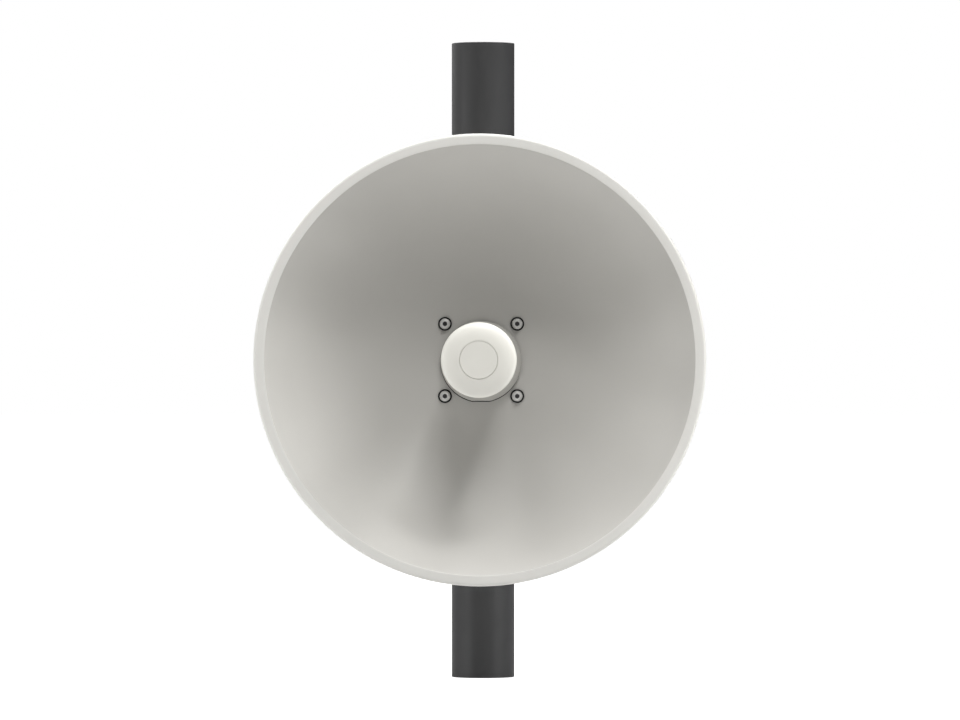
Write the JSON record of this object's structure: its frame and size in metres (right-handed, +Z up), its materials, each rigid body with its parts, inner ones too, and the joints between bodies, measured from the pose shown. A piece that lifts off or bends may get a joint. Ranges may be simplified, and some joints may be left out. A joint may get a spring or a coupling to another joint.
{
  "type": "wireless dish antenna",
  "caption": "Round point-to-point radio dish with a central feed, clamped to a short mast by a bracket that turns about the mast and tilts.",
  "frame": {"origin": "centre of the mast's foot, on the flat face of the plug let into the tube", "axes": "+Z up along the mast, +X to the right as one faces the dish, the dish looks along -Y"},
  "size_m": [0.419, 0.356, 0.61],
  "materials": {
    "dark_paint": "satin dark grey paint",
    "mast_plug": "moulded plug",
    "powder_coat": "warm light grey powder coat",
    "feed_plastic": "fine moulded texture",
    "cap_plastic": "satin moulding",
    "housing_plastic": "fine moulded texture",
    "cover_paint": "powder-coated casting",
    "gland_plastic": "moulded nylon",
    "galvanised_steel": "hot-dip galvanised",
    "cast_aluminium": "as cast",
    "fastener": "stainless",
    "black_rubber": "moulded"
  },
  "bodies": {
    "mast": {"pole": "dark_paint", "pole_foot_plug": "mast_plug", "pole_top_plug": "mast_plug"},
    "clamp": {"pole_bracket": "galvanised_steel", "front_saddle": "cast_aluminium", "rear_jaw": "cast_aluminium", "clamp_bolt_left": "fastener", "clamp_bolt_right": "fastener", "clamp_nut_left": "fastener", "clamp_nut_right": "fastener", "pivot_bolt_left": "fastener", "pivot_bolt_right": "fastener", "pivot_nut_left": "fastener", "pivot_nut_right": "fastener"},
    "head": {"reflector": "powder_coat", "feed_collar": "feed_plastic", "feed_tube": "feed_plastic", "feed_cap": "cap_plastic", "cap_disc": "cap_plastic", "front_screw_upper_left": "fastener", "front_screw_upper_right": "fastener", "front_screw_lower_left": "fastener", "front_screw_lower_right": "fastener", "screw_washer_upper_left": "black_rubber", "screw_washer_upper_right": "black_rubber", "screw_washer_lower_left": "black_rubber", "screw_washer_lower_right": "black_rubber", "yoke": "galvanised_steel", "radio_housing": "housing_plastic", "housing_seal": "black_rubber", "rear_cover": "cover_paint", "port_door": "housing_plastic", "gland_body": "gland_plastic", "gland_nut": "gland_plastic", "vent_plug": "black_rubber", "earth_stud": "fastener", "slot_bolt_left": "fastener", "slot_bolt_right": "fastener", "slot_nut_left": "fastener", "slot_nut_right": "fastener"}
  },
  "joints": [
    {"name": "azimuth_swivel", "type": "hinge", "parent": "mast", "child": "clamp", "pos_m": [0, 0, 0.305], "axis": [0, 0, 1], "continuous": true},
    {"name": "elevation_tilt", "type": "hinge", "parent": "clamp", "child": "head", "pos_m": [0, -0.1, 0.305], "axis": [1, 0, 0], "range_deg": [-15, 15]}
  ]
}
